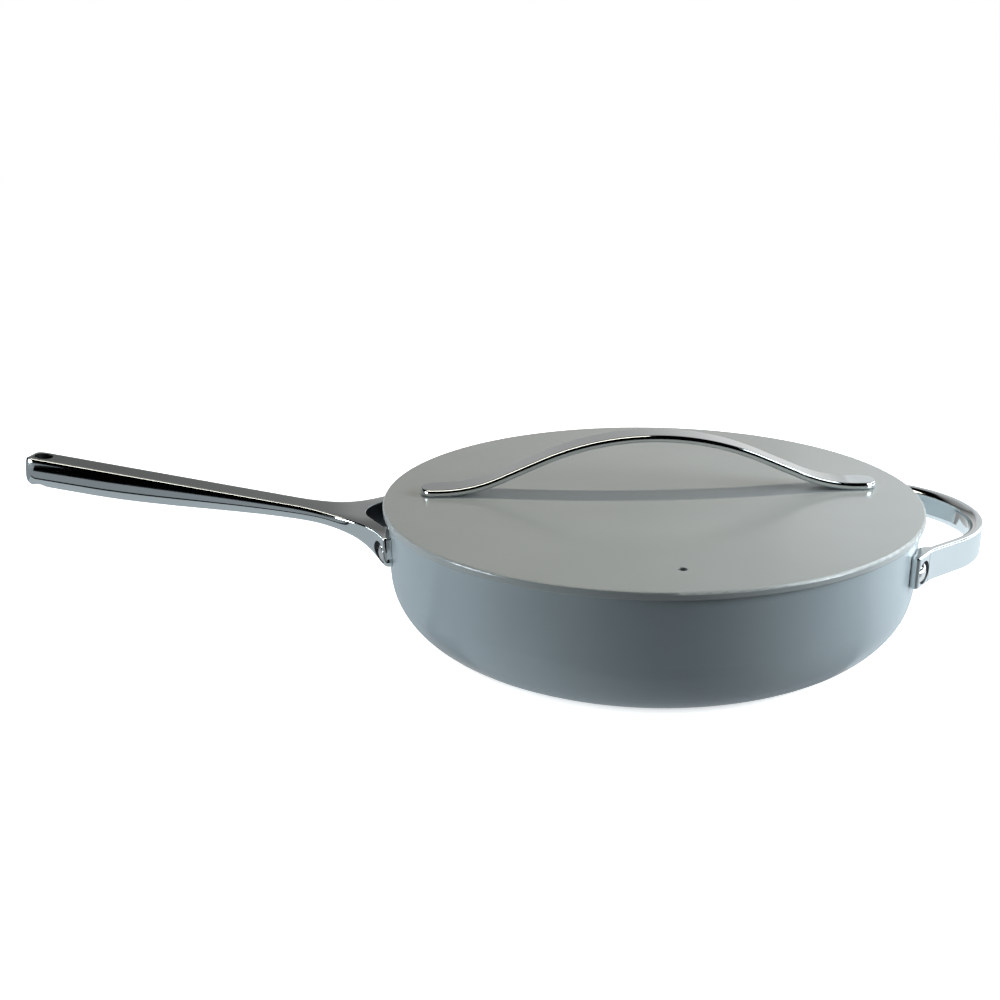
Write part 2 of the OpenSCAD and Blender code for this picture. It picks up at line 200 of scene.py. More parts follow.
RAMP_FROM = 0.3
RAMP_TO = 0.7
COAT_IOR = 1.5
MOTTLE_SCALE = 18
PEEL_SCALE = 900
PEEL_STRENGTH = 0.05
PEEL_DEPTH = 0.05
CLOUD_SCALE = 25
CLOUD_SPREAD = 0.03
STREAK_SCALE = 400
STREAK_DEPTH = 0.02
RING_SCALE = 300
RING_WOBBLE = 0.4
RING_STRENGTH = 0.3
RING_DEPTH = 0.05


def new_material(name):
    """A material with its node tree and its shader."""
    mat = bpy.data.materials.new(name)
    mat.use_nodes = True
    tree = mat.node_tree
    shader = tree.nodes["Principled BSDF"]
    return mat, tree, shader


def object_noise(tree, scale, detail, stretch=(1, 1, 1)):
    """Noise in the object's own coordinates."""
    place = tree.nodes.new("ShaderNodeTexCoord")
    spread = tree.nodes.new("ShaderNodeMapping")
    spread.inputs["Scale"].default_value = stretch
    noise = tree.nodes.new("ShaderNodeTexNoise")
    noise.inputs["Scale"].default_value = scale
    noise.inputs["Detail"].default_value = detail
    tree.links.new(place.outputs["Object"], spread.inputs["Vector"])
    tree.links.new(spread.outputs["Vector"], noise.inputs["Vector"])
    return noise


def ramp(tree, source, low, high):
    """A colour ramp from low to high over the middle of the source's range."""
    node = tree.nodes.new("ShaderNodeValToRGB")
    node.color_ramp.elements[0].position = RAMP_FROM
    node.color_ramp.elements[1].position = RAMP_TO
    node.color_ramp.elements[0].color = (*low, 1)
    node.color_ramp.elements[1].color = (*high, 1)
    tree.links.new(source, node.inputs["Fac"])
    return node.outputs["Color"]


def map_range(tree, source, low, high, from_low=0, from_high=1, kind="LINEAR"):
    """Spreads the source's values between from_low and from_high over low to high."""
    node = tree.nodes.new("ShaderNodeMapRange")
    node.interpolation_type = kind
    node.inputs["From Min"].default_value = from_low
    node.inputs["From Max"].default_value = from_high
    node.inputs["To Min"].default_value = low
    node.inputs["To Max"].default_value = high
    tree.links.new(source, node.inputs["Value"])
    return node.outputs["Result"]


def multiply(tree, a, b):
    """The product of two outputs."""
    node = tree.nodes.new("ShaderNodeMath")
    node.operation = "MULTIPLY"
    tree.links.new(a, node.inputs[0])
    tree.links.new(b, node.inputs[1])
    return node.outputs["Value"]


def bump(tree, shader, source, strength, distance):
    """Fine relief from a source, its full height given in millimetres."""
    node = tree.nodes.new("ShaderNodeBump")
    node.inputs["Strength"].default_value = strength
    node.inputs["Distance"].default_value = mm(distance)
    tree.links.new(source, node.inputs["Height"])
    tree.links.new(node.outputs["Normal"], shader.inputs["Normal"])


def coat_material(name, dark, pale, rough_low, rough_high):
    """Satin ceramic coating: a faint mottle in the colour and gloss, over a very fine orange peel."""
    mat, tree, shader = new_material(name)
    mottle = object_noise(tree, MOTTLE_SCALE, detail=6).outputs["Fac"]
    peel = object_noise(tree, PEEL_SCALE, detail=2).outputs["Fac"]
    tree.links.new(ramp(tree, mottle, dark, pale), shader.inputs["Base Color"])
    tree.links.new(map_range(tree, mottle, rough_low, rough_high), shader.inputs["Roughness"])
    shader.inputs["IOR"].default_value = COAT_IOR
    bump(tree, shader, peel, PEEL_STRENGTH, PEEL_DEPTH)
    return mat


def steel_material(name, colour, rough_low, rough_high, streak=(1, 1, 1), strength=0.03):
    """Steel with fine streaks in its gloss and relief, and a faint cloud in its colour."""
    mat, tree, shader = new_material(name)
    streaks = object_noise(tree, STREAK_SCALE, detail=3, stretch=streak).outputs["Fac"]
    cloud = object_noise(tree, CLOUD_SCALE, detail=4).outputs["Fac"]
    shader.inputs["Metallic"].default_value = 1
    pale = tuple(min(1, c * (1 + CLOUD_SPREAD)) for c in colour)
    dark = tuple(c * (1 - CLOUD_SPREAD) for c in colour)
    tree.links.new(ramp(tree, cloud, dark, pale), shader.inputs["Base Color"])
    tree.links.new(map_range(tree, streaks, rough_low, rough_high), shader.inputs["Roughness"])
    bump(tree, shader, streaks, strength, STREAK_DEPTH)
    return mat


def turned_material(name, dark, pale, rough_low, rough_high):
    """Turned steel: fine rings about the pan's axis."""
    mat, tree, shader = new_material(name)
    place = tree.nodes.new("ShaderNodeTexCoord")
    wave = tree.nodes.new("ShaderNodeTexWave")
    wave.wave_type = "RINGS"
    wave.rings_direction = "Z"
    wave.inputs["Scale"].default_value = RING_SCALE
    wave.inputs["Distortion"].default_value = RING_WOBBLE
    tree.links.new(place.outputs["Object"], wave.inputs["Vector"])
    rings = wave.outputs["Fac"]
    shader.inputs["Metallic"].default_value = 1
    tree.links.new(ramp(tree, rings, dark, pale), shader.inputs["Base Color"])
    tree.links.new(map_range(tree, rings, rough_low, rough_high), shader.inputs["Roughness"])
    bump(tree, shader, rings, RING_STRENGTH, RING_DEPTH)
    return mat


def dress(obj, mat):
    """Gives every slot of an object one material."""
    if not obj.data.materials:
        obj.data.materials.append(mat)
    for slot in obj.material_slots:
        slot.material = mat


pan_coat = coat_material("pan_coat_satin", dark=(0.315, 0.35, 0.36), pale=(0.335, 0.37, 0.38),
                         rough_low=0.2, rough_high=0.26)
lid_coat = coat_material("lid_coat_satin", dark=(0.34, 0.35, 0.34), pale=(0.36, 0.37, 0.36),
                         rough_low=0.15, rough_high=0.2)
handle_steel = steel_material("handle_steel_polished", (0.74, 0.77, 0.77), rough_low=0.05,
                              rough_high=0.09, streak=(0.08, 1, 1))
# Rough steel for the notch's inside, the rivet seats and the hanging hole: its roughness is the unpolished
# finish, and its near-black colour is painted shade
rough_steel_painted_shade = steel_material("handle_steel_rough_painted_shade", (0.1, 0.1, 0.105), rough_low=0.4, rough_high=0.5,
                            strength=0.2)
rivet_steel = steel_material("rivet_steel_polished", (0.76, 0.75, 0.73), rough_low=0.1, rough_high=0.18)
base_steel = turned_material("base_steel_turned", dark=(0.5, 0.5, 0.49), pale=(0.62, 0.62, 0.61),
                             rough_low=0.28, rough_high=0.42)

# Finish of the polished handles

CUT_EDGE = 0.35
CUT_EDGE_DEGREES = 38
CUT_EDGE_STEPS = 3
SKIN = 0.08


def polish(obj, edge, degrees, segments):
    """Rounds the sharp edges, shades the rest smooth and gives the polished steel."""
    round_edges(obj, edge, degrees, segments)
    shade(obj)
    dress(obj, handle_steel)


def rough_painted_shade_faces(obj, tests):
    """Gives the faces that pass a test the rough, unpolished steel, painted near black as shade in the
    hollows.
    """
    obj.data.materials.append(rough_steel_painted_shade)
    for face in obj.data.polygons:
        if any(test(face.center / MM, face.normal) for test in tests):
            face.material_index = 1


def radial(angle, reach, level):
    """The point at a distance from the pan's axis, in the direction of an angle."""
    return (reach * math.cos(angle), reach * math.sin(angle), level)


def rivet_cutters(toward, angle):
    """The flat seat and the hole for each rivet of a handle."""
    cutters = []
    for side in (-1, 1):
        a = toward + side * angle
        inside = radial(a, PAN_R - PAD_H, RIVET_Z)
        seat = radial(a, PAN_R + RIVET_SEAT_T, RIVET_Z)
        outside = radial(a, PAN_R + PAD_H, RIVET_Z)
        cutters.append(rod(RIVET_SEAT_R, seat, outside))
        cutters.append(rod(RIVET_HOLE_R, inside, outside, HOLE_SIDES))
    return cutters


def in_bore(point, way, radius):
    """A test for faces on a bore, or within SKIN of it."""
    def test(place, normal):
        off = place - point
        return (off - way * off.dot(way)).length < radius + SKIN
    return test


def in_rivet_seat(toward, angle):
    """A test for faces of the seats and holes that rivet_cutters makes."""
    def test(place, normal):
        for side in (-1, 1):
            way = Vector(radial(toward + side * angle, 1, 0))
            off = place - Vector((0, 0, RIVET_Z))
            along = off.dot(way)
            if along > PAN_R and (off - way * along).length < RIVET_SEAT_R + SKIN:
                return True
        return False
    return test


# Long handle

# As in the part's source, but for PAD_POWER (7 there), BAR_EDGE (0.8 there) and three roundings that are
# only here: PAD_CORNER_R, NOTCH_EDGE and TIP_TOP_ROUND
FORK_EDGE = math.radians(17.3)
FORK_RIVET = math.radians(14.6)
PAD_LEAN = math.radians(14.5)
PAD_FLAT_L = 9.5
PAD_DROOP = 1.4
PAD_CORNER_R = 2.6
PAD_POWER = 5.5
NOTCH_REACH = 14.5
NOTCH_R = 22
NOTCH_HALF_W = 28.5
NOTCH_EDGE = 0.6
HANDLE_L = 203.7
HANDLE_RISE = math.radians(11.1)
BEND_REACH = 14.4
BEND_L = 23
BAR_HALF_W = 7.9
BAR_NECK_T = 9.5
BAR_END_T = 17.3
BAR_EDGE = 1.2
BAR_POWER = 2.4
NECK_L = 38
SWELL_L = 130
TIP_ROUND = 5
TIP_TOP_ROUND = 4.5
HANG_D = 9.5
HANG_INSET = 9.2

TIP_S = PAN_R + HANDLE_L
TIP_R = BAR_HALF_W
RISE = math.tan(HANDLE_RISE)
BEND_FROM = PAN_R + BEND_REACH
EDGE_S = (PAN_R + PAD_T) * math.cos(FORK_EDGE)
EDGE_W = (PAN_R + PAD_T) * math.sin(FORK_EDGE)
PAD_HEADING = QUARTER - FORK_EDGE - PAD_LEAN
FLAT_S = EDGE_S + PAD_FLAT_L * math.cos(PAD_HEADING)
FLAT_W = EDGE_W - PAD_FLAT_L * math.sin(PAD_HEADING)
THROAT_R = (FLAT_W - BAR_HALF_W) / (1 - math.cos(PAD_HEADING))
THROAT_S = FLAT_S + THROAT_R * math.sin(PAD_HEADING)
PAD_TURN = FORK_EDGE + PAD_HEADING
PAD_TANGENT = PAD_CORNER_R * math.tan(PAD_TURN / 2)
CORNER_S = EDGE_S - PAD_TANGENT * math.cos(FORK_EDGE) + PAD_CORNER_R * math.sin(FORK_EDGE)
CORNER_W = EDGE_W - PAD_TANGENT * math.sin(FORK_EDGE) - PAD_CORNER_R * math.cos(FORK_EDGE)
ROUND_FROM = EDGE_S - PAD_TANGENT * math.cos(FORK_EDGE)
ROUND_TO = EDGE_S + PAD_TANGENT * math.cos(PAD_HEADING)

CORNER_STEPS = 12
FLAT_STEPS = 6
THROAT_STEPS = 40
BAR_STEPS = 60
TIP_STEPS = 20
TOP_STEPS = 16
EDGE_STEPS = 4
UNDER_STEPS = 64
NOTCH_STEPS = 48
RIM_STEPS = 6

# How upright a face of the notch stands, and how far it turns to the pan, by its normal
UPRIGHT = 0.5
TO_PAN = 0.3


def half_w(s):
    """Half the width at a distance s from the pan's axis: pad, rounded corner, flat, throat, bar and tip."""
    if s < ROUND_FROM:
        return EDGE_W * s / EDGE_S
    if s < ROUND_TO:
        return CORNER_W + math.sqrt(PAD_CORNER_R ** 2 - (s - CORNER_S) ** 2)
    if s < FLAT_S:
        return mix(EDGE_W, FLAT_W, (s - EDGE_S) / (FLAT_S - EDGE_S))
    if s < THROAT_S:
        return BAR_HALF_W + THROAT_R * (1 - math.cos(math.asin((THROAT_S - s) / THROAT_R)))
    if s < TIP_S - TIP_R:
        return BAR_HALF_W
    return math.sqrt(max(0, TIP_R ** 2 - (s - TIP_S + TIP_R) ** 2))


def top_z(s):
    """Height of the top face along its middle: level at the fork, then bent up to the handle's rise."""
    far = max(0, s - BEND_FROM)
    run = min(BEND_L, far)
    return FORK_TOP + RISE * (run * run / (2 * BEND_L) + far - run)


def droop(w):
    """How far the top face has dropped at a distance w from its middle."""
    return PAD_DROOP * (max(0, abs(w) - BAR_HALF_W) / (EDGE_W - BAR_HALF_W)) ** 2


def tip_bend(s, radius):
    """How far a quarter round of the given radius has bent away at the tip."""
    u = min(1, max(0, s - TIP_S + radius) / radius)
    return radius * (1 - math.sqrt(1 - u * u))


def bar_t(s):
    """Thickness of the bar, which swells towards the tip and is rounded off there."""
    thick = mix(BAR_NECK_T, BAR_END_T, smooth((s - PAN_R - NECK_L) / SWELL_L))
    return thick - tip_bend(s, TIP_ROUND) - tip_bend(s, TIP_TOP_ROUND)


def lean(s):
    """How far outwards a cross-section leans for each millimetre below the top face."""
    return RISE * smooth((s - BEND_FROM) / BEND_L)


def depth(s):
    """Depth of the handle, which deepens from the bar to the pads as it widens."""
    share = smooth((half_w(s) - BAR_HALF_W) / (EDGE_W - BAR_HALF_W))
    return bar_t(s) + (PAD_H - BAR_NECK_T) * share


def handle_ring(s, full=False):
    """One cross-section, with a flat top and a round underside. A full one is as deep as the pads."""
    w = max(half_w(s), 2 * BAR_EDGE)
    in_w = w - BAR_EDGE
    z = top_z(s) - tip_bend(s, TIP_TOP_ROUND)
    p = 2 / mix(PAD_POWER, BAR_POWER, smooth((s - PAN_R) / NECK_L))
    t = (PAD_H if full else depth(s)) - BAR_EDGE

    def point(y, below):
        return (-s - lean(s) * below, y, z - droop(y) - below)

    def edge_point(side, u):
        a = QUARTER * u
        return point(side * (in_w + BAR_EDGE * math.sin(a)), BAR_EDGE * (1 - math.cos(a)))

    def under_point(u):
        c = math.cos(math.pi * u)
        y = -w * math.copysign(abs(c) ** p, c)
        return point(y, BAR_EDGE + t * abs(math.sin(math.pi * u)) ** p)

    ring = [point(mix(in_w, -in_w, u), 0) for u in shares(TOP_STEPS)]
    ring += [edge_point(-1, u) for u in shares(EDGE_STEPS)[1:-1]]
    ring += [under_point(u) for u in shares(UNDER_STEPS)]
    ring += [edge_point(1, u) for u in reversed(shares(EDGE_STEPS)[1:-1])]
    return ring


def notch_ring(grow, below):
    """The notch's outline, grown outwards, at a depth below the handle's top face."""
    bottom_s = PAN_R + NOTCH_REACH - NOTCH_R
    run = bottom_s - PAN_R
    flank = math.atan2(run, NOTCH_HALF_W) + math.asin(NOTCH_R / math.hypot(run, NOTCH_HALF_W))
    plan = []
    for u in shares(NOTCH_STEPS):
        a = mix(flank, -flank, u)
        plan.append((bottom_s + (NOTCH_R + grow) * math.cos(a), (NOTCH_R + grow) * math.sin(a)))
    wall_s = PAN_R + grow * math.cos(flank)
    wall_y = NOTCH_HALF_W + grow * math.sin(flank)
    ends = [(wall_s, wall_y), (PAN_R - PAD_H, wall_y)]
    plan += [(s, -y) for s, y in ends] + list(reversed(ends))
    return [(-s, y, top_z(s) - droop(y) - below) for s, y in plan]


def notch_cutter():
    """The notch with its upper rim rounded over."""
    rings = [notch_ring(0, 2 * PAD_H)]
    for u in shares(RIM_STEPS):
        a = QUARTER * u
        rings.append(notch_ring(NOTCH_EDGE * (1 - math.cos(a)), NOTCH_EDGE * (1 - math.sin(a))))
    rings.append(notch_ring(NOTCH_EDGE, -PAD_H))
    return loft("cutter", rings)


def in_notch(place, normal):
    """A test for faces of the notch's inside, below its rounded rim."""
    s = -place.x
    if s > PAN_R + NOTCH_REACH + SKIN or abs(place.y) > NOTCH_HALF_W + SKIN:
        return False
    below = top_z(s) - place.z
    faces_in = normal.x > TO_PAN or normal.y * place.y < 0
    return below > NOTCH_EDGE and abs(normal.z) < UPRIGHT and faces_in


def handle_stations():
    """Distances from the pan's axis at which the handle's cross-sections stand."""
    turns = [mix(QUARTER + FORK_EDGE, QUARTER - PAD_HEADING, u) for u in shares(CORNER_STEPS)]
    stations = [CORNER_S + PAD_CORNER_R * math.cos(a) for a in turns]
    stations += [mix(ROUND_TO, FLAT_S, u) for u in shares(FLAT_STEPS)[1:]]
    stations += [THROAT_S - THROAT_R * math.sin(PAD_HEADING * (1 - u)) for u in shares(THROAT_STEPS)[1:]]
    stations += [mix(THROAT_S, TIP_S - TIP_R, u) for u in shares(BAR_STEPS)[1:]]
    stations += [TIP_S - TIP_R * (1 - math.sin(QUARTER * u)) for u in shares(TIP_STEPS)[1:]]
    return stations


def make_long_handle():
    """The forked handle: one skin, cut by the pan's wall, the notch, the rivets and the hanging hole."""
    pad_start = (PAN_R - WALL_T) * math.cos(FORK_EDGE) - WALL_T
    rings = [handle_ring(pad_start, full=True)] + [handle_ring(s) for s in handle_stations()]
    obj = loft("long_handle_polished", rings)
    hang_s = TIP_S - HANG_INSET
    way = Vector((math.sin(HANDLE_RISE), 0, math.cos(HANDLE_RISE)))
    centre = Vector((-hang_s, 0, top_z(hang_s)))
    cut(obj, [rod(PAN_R + HUG_GAP, (0, 0, 0), (0, 0, PAN_H + PAD_H), WALL_SIDES)])
    cut(obj, [notch_cutter()])
    hang_cutter = rod(HANG_D / 2, centre - way * 2 * BAR_END_T, centre + way * 2 * BAR_END_T)
    cut(obj, rivet_cutters(math.pi, FORK_RIVET) + [hang_cutter])
    polish(obj, CUT_EDGE, CUT_EDGE_DEGREES, CUT_EDGE_STEPS)
    # The notch's inside, the rivet seats and the hanging hole's bore get painted shade, in the near-black
    # rough steel
    rough_painted_shade_faces(obj, [in_notch, in_rivet_seat(math.pi, FORK_RIVET), in_bore(centre, way, HANG_D / 2)])
    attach(obj, "pan")
    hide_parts("long_handle")


# Helper handle

# As in the part's source, but for LOOP_END_R, the rounding of the pads' ends, which is only here
STRAP_H = 17.5
STRAP_T = 7
OUTER_EDGE = 0.9
INNER_EDGE = 5
LOOP_REACH = 41
LOOP_EDGE = math.radians(31.5)
LOOP_RIVET = math.radians(28.7)
LOOP_LEAN = math.radians(9)
LOOP_FLAT_L = 13.5
LOOP_END_R = 1.6
LOOP_ROOT_R = 35
ARM_ANGLE = math.radians(35)
LOOP_HEADING = QUARTER - LOOP_EDGE - LOOP_LEAN
LOOP_START = Vector((math.cos(LOOP_EDGE), math.sin(LOOP_EDGE))) * (PAN_R + PAD_T)
LOOP_ALONG = Vector((math.cos(LOOP_HEADING), -math.sin(LOOP_HEADING)))

END_STEPS = 8
PAD_STEPS = 8
ROOT_STEPS = 20
ARM_STEPS = 10
LOOP_STEPS = 48
STRIP_STEPS = 8


def half_loop():
    """Places on one half of the outside face: the point, the way the face runs, and its share of the pad."""
    pad_end = LOOP_START + LOOP_FLAT_L * LOOP_ALONG

    def root_point(a):
        return pad_end + LOOP_ROOT_R * Vector((math.sin(LOOP_HEADING) - math.sin(a),
                                               math.cos(LOOP_HEADING) - math.cos(a)))

    root_end = root_point(ARM_ANGLE)
    share = (1 - math.sin(ARM_ANGLE)) / math.cos(ARM_ANGLE)
    arm_l = ((PAN_R + LOOP_REACH - root_end[0] - root_end[1] * share)
             / (math.cos(ARM_ANGLE) - math.sin(ARM_ANGLE) * share))
    arm_end = root_end + arm_l * Vector((math.cos(ARM_ANGLE), -math.sin(ARM_ANGLE)))
    loop_r = arm_end[1] / math.cos(ARM_ANGLE)
    places = [(LOOP_START.lerp(pad_end, u), LOOP_HEADING, 1) for u in shares(PAD_STEPS)[1:-1]]
    for u in shares(ROOT_STEPS)[:-1]:
        a = mix(LOOP_HEADING, ARM_ANGLE, u)
        places.append((root_point(a), a, 1 - smooth(u)))
    places += [(root_end.lerp(arm_end, u), ARM_ANGLE, 0) for u in shares(ARM_STEPS)[:-1]]
    for u in shares(LOOP_STEPS):
        a = mix(ARM_ANGLE, QUARTER, u)
        p = Vector((arm_end[0] + loop_r * (math.sin(a) - math.sin(ARM_ANGLE)), loop_r * math.cos(a)))
        places.append((p, a, 0))
    return places


def to_wall(p, a):
    """How far the pan's wall lies inwards from a point of a pad."""
    inward = -(p[0] * math.sin(a) + p[1] * math.cos(a))
    off = p.length ** 2 - (PAN_R + HUG_GAP) ** 2
    return -inward - math.sqrt(max(0, inward * inward - off))


def rounded_strip(low, high, half_h, r_low, r_high):
    """A rounded section: first number across the strap from its outside, second up."""
    corners = [(low + r_low, half_h - r_low, r_low, 90),
               (low + r_low, -half_h + r_low, r_low, 180),
               (high - r_high, -half_h + r_high, r_high, 270),
               (high - r_high, half_h - r_high, r_high, 0)]
    points = []
    for x, y, r, first in corners:
        for u in shares(STRIP_STEPS):
            a = math.radians(first + 90 * u)
            points.append((x + r * math.cos(a), y + r * math.sin(a)))
    return points


def loop_ring(place, side, inset=0):
    """One section of the loop. At the pads' ends the outside face and the height draw in, by inset."""
    p, a, share = place
    t = mix(STRAP_T, to_wall(p, a), share) if share > 0 else STRAP_T
    inward = Vector((-math.sin(a), -math.cos(a)))
    level = HELPER_TOP - STRAP_H / 2
    inner = mix(INNER_EDGE, OUTER_EDGE, share)
    ring = []
    for across, up in rounded_strip(inset, t, STRAP_H / 2 - inset / 2, OUTER_EDGE, inner):
        q = p + inward * across
        ring.append((q[0], side * q[1], level + up))
    return ring


def pad_end_rings(side):
    """The rounded end of a pad, from its tip."""
    rings = []
    for u in shares(END_STEPS)[:-1]:
        a = QUARTER * u
        place = (LOOP_START + LOOP_ALONG * LOOP_END_R * (1 - math.cos(a)), LOOP_HEADING, 1)
        rings.append(loop_ring(place, side, LOOP_END_R * (1 - math.sin(a))))
    return rings


def make_helper_handle():
    """The loop: one skin from pad to pad, cut by the rivets."""
    places = half_loop()
    rings = pad_end_rings(1)
    rings += [loop_ring(place, 1) for place in places]
    rings += [loop_ring(place, -1) for place in reversed(places[:-1])]
    rings += reversed(pad_end_rings(-1))
    obj = loft("helper_handle_polished", rings)
    cut(obj, rivet_cutters(0, LOOP_RIVET))
    polish(obj, CUT_EDGE, CUT_EDGE_DEGREES, CUT_EDGE_STEPS)
    # The rivet seats get painted shade, in the near-black rough steel
    rough_painted_shade_faces(obj, [in_rivet_seat(0, LOOP_RIVET)])
    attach(obj, "pan")
    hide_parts("helper_handle")


# Lid handle

# As in the part's source, but for GRIP_END (129 there), FOOT_L (8.5 there), GRIP_EDGE (1.7 there) and
# FOOT_EDGE, the rounding of the feet's end faces, which is only here
GRIP_END = 131.5
GRIP_W = 19
GRIP_T = 4.2
GRIP_H = 34.3
GRIP_EDGE = 1.8
SLOPE_L = 26.2
FOOT_L = 11
FOOT_R = 83.7
FOOT_CORNER_R = 8
FOOT_EDGE = 1.2
FOOT_EDGE_DEGREES = 60
FOOT_EDGE_STEPS = 4
FLAT_A = GRIP_END - FOOT_L
ROUND_A = GRIP_END - FOOT_CORNER_R
GRIP_SLOPE = 2 * math.atan2(GRIP_H - GRIP_T, FLAT_A + SLOPE_L)
CROWN_R = (FLAT_A - SLOPE_L * math.cos(GRIP_SLOPE)) / math.sin(GRIP_SLOPE) - FOOT_R

CROWN_STEPS = 36
SLOPE_STEPS = 9
FILLET_STEPS = 28
FOOT_STEPS = 4
FOOT_END_STEPS = 24


def half_grip():
    """Places on one half of the top line: distance from the middle, height and slope."""
    places = []
    for u in shares(CROWN_STEPS):
        a = GRIP_SLOPE * u
        places.append((CROWN_R * math.sin(a), GRIP_H - CROWN_R * (1 - math.cos(a)), a))
    crown_a, crown_h, _ = places[-1]
    fillet_a = FLAT_A - FOOT_R * math.sin(GRIP_SLOPE)
    fillet_h = GRIP_T + FOOT_R * (1 - math.cos(GRIP_SLOPE))
    for u in shares(SLOPE_STEPS)[1:-1]:
        places.append((mix(crown_a, fillet_a, u), mix(crown_h, fillet_h, u), GRIP_SLOPE))
    for u in shares(FILLET_STEPS):
        a = GRIP_SLOPE * (1 - u)
        places.append((FLAT_A - FOOT_R * math.sin(a), GRIP_T + FOOT_R * (1 - math.cos(a)), a))
    for u in shares(FOOT_STEPS)[1:]:
        places.append((mix(FLAT_A, ROUND_A, u), GRIP_T, 0))
    return places


def grip_ring(place, side, w=GRIP_W / 2):
    """One section of the strap, on the lid as it lies turned on the pan."""
    along, height, slope = place
    ring = []
    for down, across in rounded_strip(0, GRIP_T, w, GRIP_EDGE, GRIP_EDGE):
        x = side * (along - down * math.sin(slope))
        ring.append((x * math.cos(LID_TURN) - across * math.sin(LID_TURN),
                     x * math.sin(LID_TURN) + across * math.cos(LID_TURN),
                     LID_TOP + height - down * math.cos(slope)))
    return ring


def foot_rings(side):
    """The end of a foot, where the strap narrows in two quarter rounds."""
    rings = []
    for u in shares(FOOT_END_STEPS)[1:]:
        a = QUARTER * u
        along = ROUND_A + FOOT_CORNER_R * math.sin(a)
        w = GRIP_W / 2 - FOOT_CORNER_R * (1 - math.cos(a))
        rings.append(grip_ring((along, GRIP_T, 0), side, w))
    return rings


def make_lid_handle():
    """The arched strap: one skin from foot to foot."""
    places = half_grip()
    rings = list(reversed(foot_rings(-1)))
    rings += [grip_ring(place, -1) for place in reversed(places[1:])]
    rings += [grip_ring(place, 1) for place in places]
    rings += foot_rings(1)
    obj = loft("lid_handle_polished", rings)
    polish(obj, FOOT_EDGE, FOOT_EDGE_DEGREES, FOOT_EDGE_STEPS)
    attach(obj, "lid")
    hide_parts("lid_handle")


# The pan itself: a material on each of the CAD's nodes, then the three handles

NODE_MATERIALS = {
    "pan_body": pan_coat,
    "lid_plate": lid_coat,
    "base_plate": base_steel,
    "long_handle": handle_steel,
    "helper_handle": handle_steel,
    "lid_handle": handle_steel,
    "long_handle_rivets": rivet_steel,
    "helper_handle_rivets": rivet_steel,
    "lid_handle_screws": rivet_steel,
    "lid_handle_washers": rivet_steel,
}

for node_name, mat in NODE_MATERIALS.items():
    dress(nodes[node_name], mat)
make_long_handle()
make_helper_handle()
make_lid_handle()

# Studio: the camera sees a white floor and surround, and the metal mirrors soft lights and grey cards

WHITE = (1, 1, 1, 1)
BLACK = (0, 0, 0, 1)
COOL = (0.83, 0.93, 1)
WARM = (1, 0.96, 0.84)

# Lights: name, place, width, height, power in watts and colour
PAN_MIDDLE = (0, 0, 50)
LIGHTS = (
    ("key_overhead", (20, 580, 1750), 160, 160, 16, WARM),
    ("gloss_overhead", (-560, 0, 1800), 480, 1600, 9.5, WARM),
    ("soft_left", (-1900, 335, 340), 2000, 620, 12, COOL),
    ("soft_right", (1900, 335, 340), 2000, 620, 9, COOL),
    ("soft_right_back", (870, 1640, 800), 850, 560, 0.4, COOL),
    ("near_left_low", (-870, -270, 110), 300, 300, 4.8, COOL),
    ("near_right", (500, -200, 250), 250, 250, 2.3, COOL),
    ("near_right_high", (430, 0, 420), 250, 250, 0.9, COOL),
    ("near_right_back", (500, 250, 300), 250, 250, 0.5, COOL),
)
NOT_IN_REFLECTIONS = ("key_overhead", "soft_left", "soft_right")
ONLY_IN_REFLECTIONS = ("gloss_overhead",)

# Cards: name, from and to along X, from and to along Y, and glow
CARD_Z = -1
CARDS = (
    ("card_front", -150, 400, -175, -100, 0.42),
    ("card_front_dark", -150, 500, -350, -175, 0.19),
    ("card_left", -500, -100, -62, 150, 0.5),
    ("card_left_front", -500, -150, -165, -78, 0.3),
    ("card_right", 100, 500, -100, 150, 1.04),
    ("card_far_left", -5000, -500, -350, 400, 0.3),
    ("card_far_right", 500, 1500, -350, 400, 11.8),
    ("card_back", -5000, 5000, 400, 5000, 0.9),
)

# Floor: its glow grows between two distances from the origin
FLOOR_R = 30000
FLOOR_SIDES = 96
FLOOR_WHITE = 0.85
FLOOR_ROUGH = 0.9
FLOOR_GLOW = 1.1
GLOW_FROM = 112
GLOW_TO = 138

# Surround: how high a direction points (0 level, 1 straight up) and the grey seen there
SURROUND = (
    (0, 0.62),
    (0.14, 0.55),
    (0.225, 0.45),
    (0.29, 0.36),
    (0.33, 0.35),
    (0.365, 0.2),
    (0.42, 0.16),
    (0.47, 0.4),
    (0.76, 0.4),
    (0.8, 0),
)

# It fades in as a direction turns backwards, along +Y, and gains as it turns to the right, along +X
BEHIND_FROM = 0.45
BEHIND_TO = 0.65
RIGHT_GAIN = 0.9


def make_lights():
    """Soft rectangular lights, all aimed at the middle of the pan and hidden from the camera."""
    for name, place, width, height, power, colour in LIGHTS:
        data = bpy.data.lights.new(name, "AREA")
        data.shape = "RECTANGLE"
        data.size = mm(width)
        data.size_y = mm(height)
        data.energy = power
        data.color = colour
        lamp = bpy.data.objects.new(name, data)
        lamp.location = [mm(c) for c in place]
        lamp.rotation_euler = (Vector(PAN_MIDDLE) - Vector(place)).to_track_quat("-Z", "Y").to_euler()
        lamp.visible_camera = False
        lamp.visible_glossy = name not in NOT_IN_REFLECTIONS
        lamp.visible_diffuse = name not in ONLY_IN_REFLECTIONS
        scene.collection.objects.link(lamp)


def glow_material(name, glow):
    """A surface that only glows."""
    mat, _, shader = new_material(name)
    shader.inputs["Base Color"].default_value = BLACK
    shader.inputs["Specular IOR Level"].default_value = 0
    shader.inputs["Emission Color"].default_value = (*COOL, 1)
    shader.inputs["Emission Strength"].default_value = glow
    return mat


